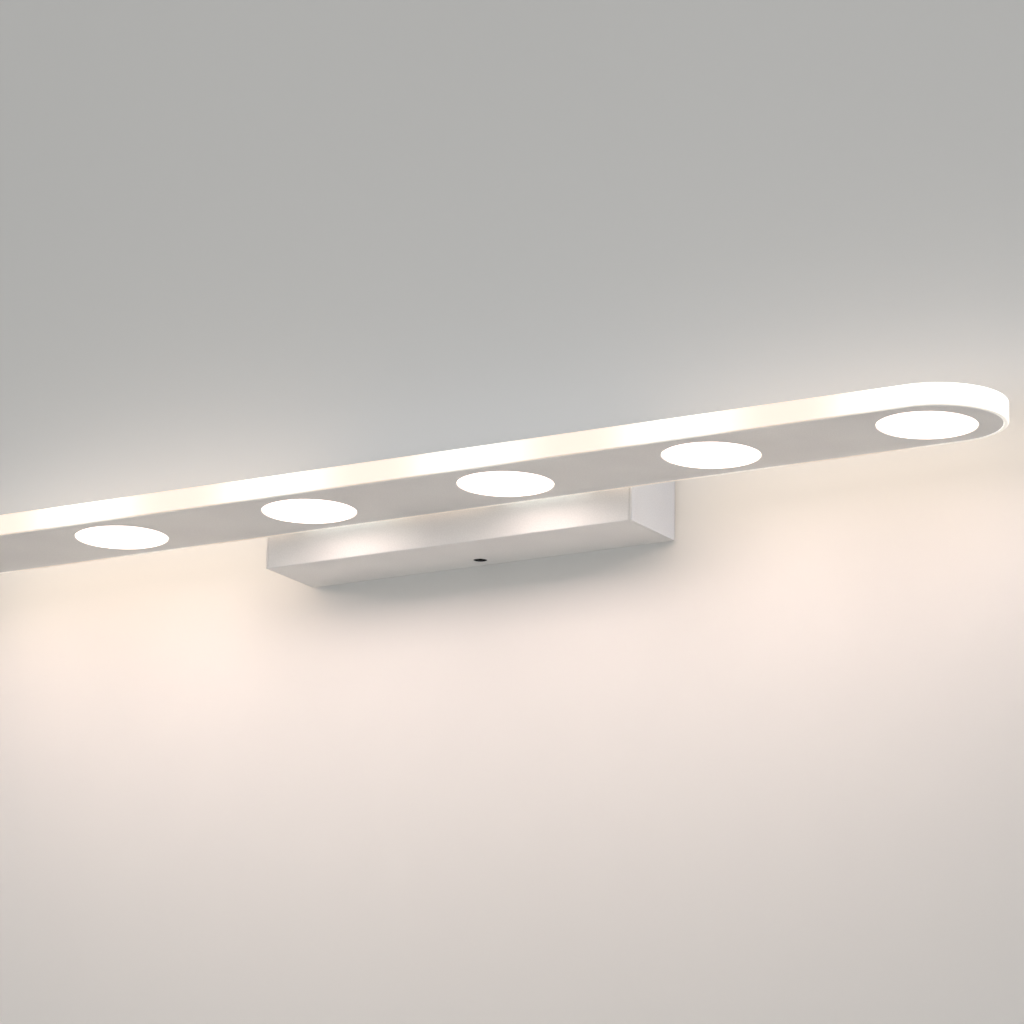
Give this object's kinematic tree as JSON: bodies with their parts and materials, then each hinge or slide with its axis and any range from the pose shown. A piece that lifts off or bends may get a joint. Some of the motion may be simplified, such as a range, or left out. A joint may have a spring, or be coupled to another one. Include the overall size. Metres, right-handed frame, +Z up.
{
  "type": "vanity light bar",
  "caption": "Slim stadium-shaped light bar with flush round opal lenses in its underside and a glowing opal edge, held out from the wall by a box canopy.",
  "frame": {"origin": "centre of the wall bracket's back face, on the wall", "axes": "+X along the bar, +Y into the wall, so the light faces -Y, and +Z up"},
  "size_m": [0.6614, 0.1191, 0.042],
  "materials": {
    "satin_aluminium": "satin anodised",
    "opal_acrylic": "opal, softly glowing",
    "opal_lens": "opal, brightly lit",
    "white_circuit_board": "white solder mask",
    "zinc_plated_steel": "zinc plated",
    "red_insulation": "satin",
    "black_insulation": "satin",
    "black_rubber": "matt",
    "black_oxide_steel": "black oxide",
    "foam_tape": "matt foam",
    "white_case_plastic": "fine matt",
    "green_circuit_board": "satin solder mask",
    "brass": "plain",
    "brown_insulation": "satin",
    "blue_insulation": "satin",
    "green_yellow_insulation": "satin"
  },
  "bodies": {
    "wall_bracket": {"wall_bracket": "zinc_plated_steel", "bracket_grommet": "black_rubber"},
    "locking_screw": {"locking_screw": "black_oxide_steel"},
    "luminaire": {"edge_diffuser": "opal_acrylic", "bottom_plate": "satin_aluminium", "top_plate": "satin_aluminium", "lens_1": "opal_lens", "lens_2": "opal_lens", "lens_3": "opal_lens", "lens_4": "opal_lens", "lens_5": "opal_lens", "lens_6": "opal_lens", "led_module_1": "white_circuit_board", "led_module_2": "white_circuit_board", "led_module_3": "white_circuit_board", "led_module_4": "white_circuit_board", "led_module_5": "white_circuit_board", "led_module_6": "white_circuit_board", "pillar_1": "zinc_plated_steel", "pillar_2": "zinc_plated_steel", "pillar_3": "zinc_plated_steel", "pillar_4": "zinc_plated_steel", "pillar_5": "zinc_plated_steel", "cover_screw_1": "zinc_plated_steel", "cover_screw_2": "zinc_plated_steel", "cover_screw_3": "zinc_plated_steel", "cover_screw_4": "zinc_plated_steel", "cover_screw_5": "zinc_plated_steel", "bus_wire_positive": "red_insulation", "bus_wire_negative": "black_insulation", "mounting_block_left": "satin_aluminium", "mounting_block_right": "satin_aluminium", "block_screw_left": "zinc_plated_steel", "block_screw_right": "zinc_plated_steel", "spacer_left": "satin_aluminium", "spacer_right": "satin_aluminium", "arm_bolt_left": "zinc_plated_steel", "arm_bolt_right": "zinc_plated_steel", "cable_bush": "black_rubber", "canopy_channel": "satin_aluminium", "end_cap_left": "satin_aluminium", "end_cap_right": "satin_aluminium", "locking_nut": "black_oxide_steel", "driver_tape": "foam_tape", "driver_case": "white_case_plastic", "driver_lid": "white_case_plastic", "driver_board": "green_circuit_board", "terminal_block": "white_case_plastic", "terminal_screw_1": "zinc_plated_steel", "terminal_screw_2": "zinc_plated_steel", "terminal_screw_3": "zinc_plated_steel", "earth_stud": "brass", "earth_nut": "brass", "led_lead_positive": "red_insulation", "led_lead_negative": "black_insulation", "live_lead": "brown_insulation", "neutral_lead": "blue_insulation", "earth_lead": "green_yellow_insulation"}
  },
  "joints": [
    {"name": "canopy_slides_off_bracket", "type": "slide", "parent": "wall_bracket", "child": "luminaire", "axis": [0, -1, 0], "range_m": [0, 0.06]},
    {"name": "locking_screw_lowers", "type": "slide", "parent": "luminaire", "child": "locking_screw", "axis": [0, 0, -1], "range_m": [0, 0.0032]}
  ]
}
